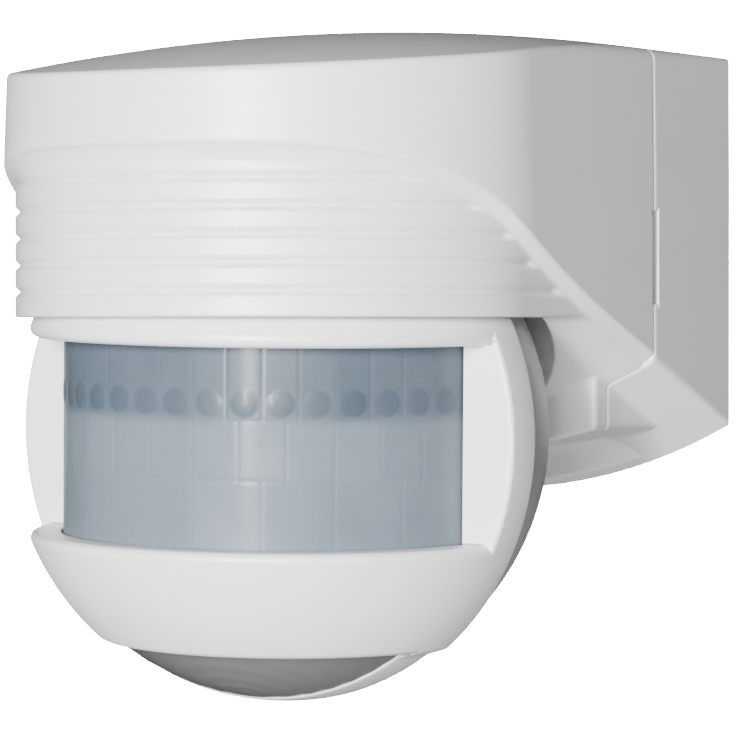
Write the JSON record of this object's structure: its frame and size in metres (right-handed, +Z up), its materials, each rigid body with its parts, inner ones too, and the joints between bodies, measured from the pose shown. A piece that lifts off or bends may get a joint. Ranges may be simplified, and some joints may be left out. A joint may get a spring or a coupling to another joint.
{
  "type": "motion sensor",
  "caption": "Wall-mounted passive infrared motion sensor: a ball-shaped lens head that pans and tilts in the socket of a ribbed hood, on a screwed wall base.",
  "frame": {"origin": "centre of the four wall-screw holes, on the wall face", "axes": "+Z up the wall, +Y into the wall, the sensor faces -Y"},
  "size_m": [0.0778, 0.0983, 0.0947],
  "materials": {
    "white_plastic": "fine satin moulded, UV-stable white",
    "lens_plastic": "milky translucent polyethylene",
    "seal_rubber": "matt elastomer",
    "grey_plastic": "moulded",
    "black_plastic": "moulded",
    "nylon": "natural nylon",
    "board_green": "solder-masked glass epoxy",
    "bright_metal": "plated steel",
    "brass": "machined",
    "component_blue": "dipped epoxy",
    "copper_coil": "enamelled winding",
    "clear_plastic": "clear resin"
  },
  "bodies": {
    "wall_base": {"wall_base": "white_plastic", "rear_grommet": "seal_rubber", "lower_grommet": "seal_rubber", "cover_seal": "seal_rubber", "terminal_block": "grey_plastic", "terminal_clamps": "brass", "terminal_screws": "bright_metal", "socket_strip": "grey_plastic"},
    "hood": {"hood_cover": "white_plastic", "seat_ring": "nylon", "cover_clips": "bright_metal", "power_board": "board_green", "board_screws": "bright_metal", "relay": "black_plastic", "film_capacitor": "component_blue", "smoothing_capacitor": "black_plastic", "varistor": "component_blue", "choke": "copper_coil", "board_connector": "grey_plastic", "pin_header": "grey_plastic", "plug_pins": "brass"},
    "neck": {"swivel_stem": "nylon", "wave_washer": "bright_metal", "stem_nut": "nylon", "stem_lead": "black_plastic"},
    "head": {"head_front_shell": "white_plastic", "head_rear_shell": "white_plastic", "head_screws": "bright_metal", "head_seal": "seal_rubber", "fresnel_lens": "lens_plastic", "creep_zone_lens": "lens_plastic", "sensor_board": "board_green", "sensor_hub": "grey_plastic", "pir_sensors": "bright_metal", "creep_zone_sensor": "bright_metal", "status_led": "clear_plastic", "light_sensor": "clear_plastic", "head_connector": "grey_plastic", "dial_board": "board_green", "trimmers": "grey_plastic"},
    "time_dial": {"time_dial": "black_plastic"},
    "light_dial": {"light_dial": "black_plastic"}
  },
  "joints": [
    {"name": "cover_pull", "type": "slide", "parent": "wall_base", "child": "hood", "axis": [0, -1, 0], "range_m": [0, 0.03]},
    {"name": "head_pan", "type": "hinge", "parent": "hood", "child": "neck", "pos_m": [0, -0.0594, -0.0237], "axis": [0, 0, 1], "range_deg": [-95, 85]},
    {"name": "head_tilt", "type": "hinge", "parent": "neck", "child": "head", "pos_m": [0, -0.0594, -0.0237], "axis": [0.9962, 0.0872, 0], "range_deg": [-12, 28]},
    {"name": "time_dial_turn", "type": "hinge", "parent": "head", "child": "time_dial", "pos_m": [-0.01273, -0.03197, -0.03547], "axis": [-0.0863, 0.9957, 0.0349], "range_deg": [0, 270]},
    {"name": "light_dial_turn", "type": "hinge", "parent": "head", "child": "light_dial", "pos_m": [0.00719, -0.03023, -0.03596], "axis": [-0.0863, 0.9957, 0.0349], "range_deg": [0, 270]}
  ]
}
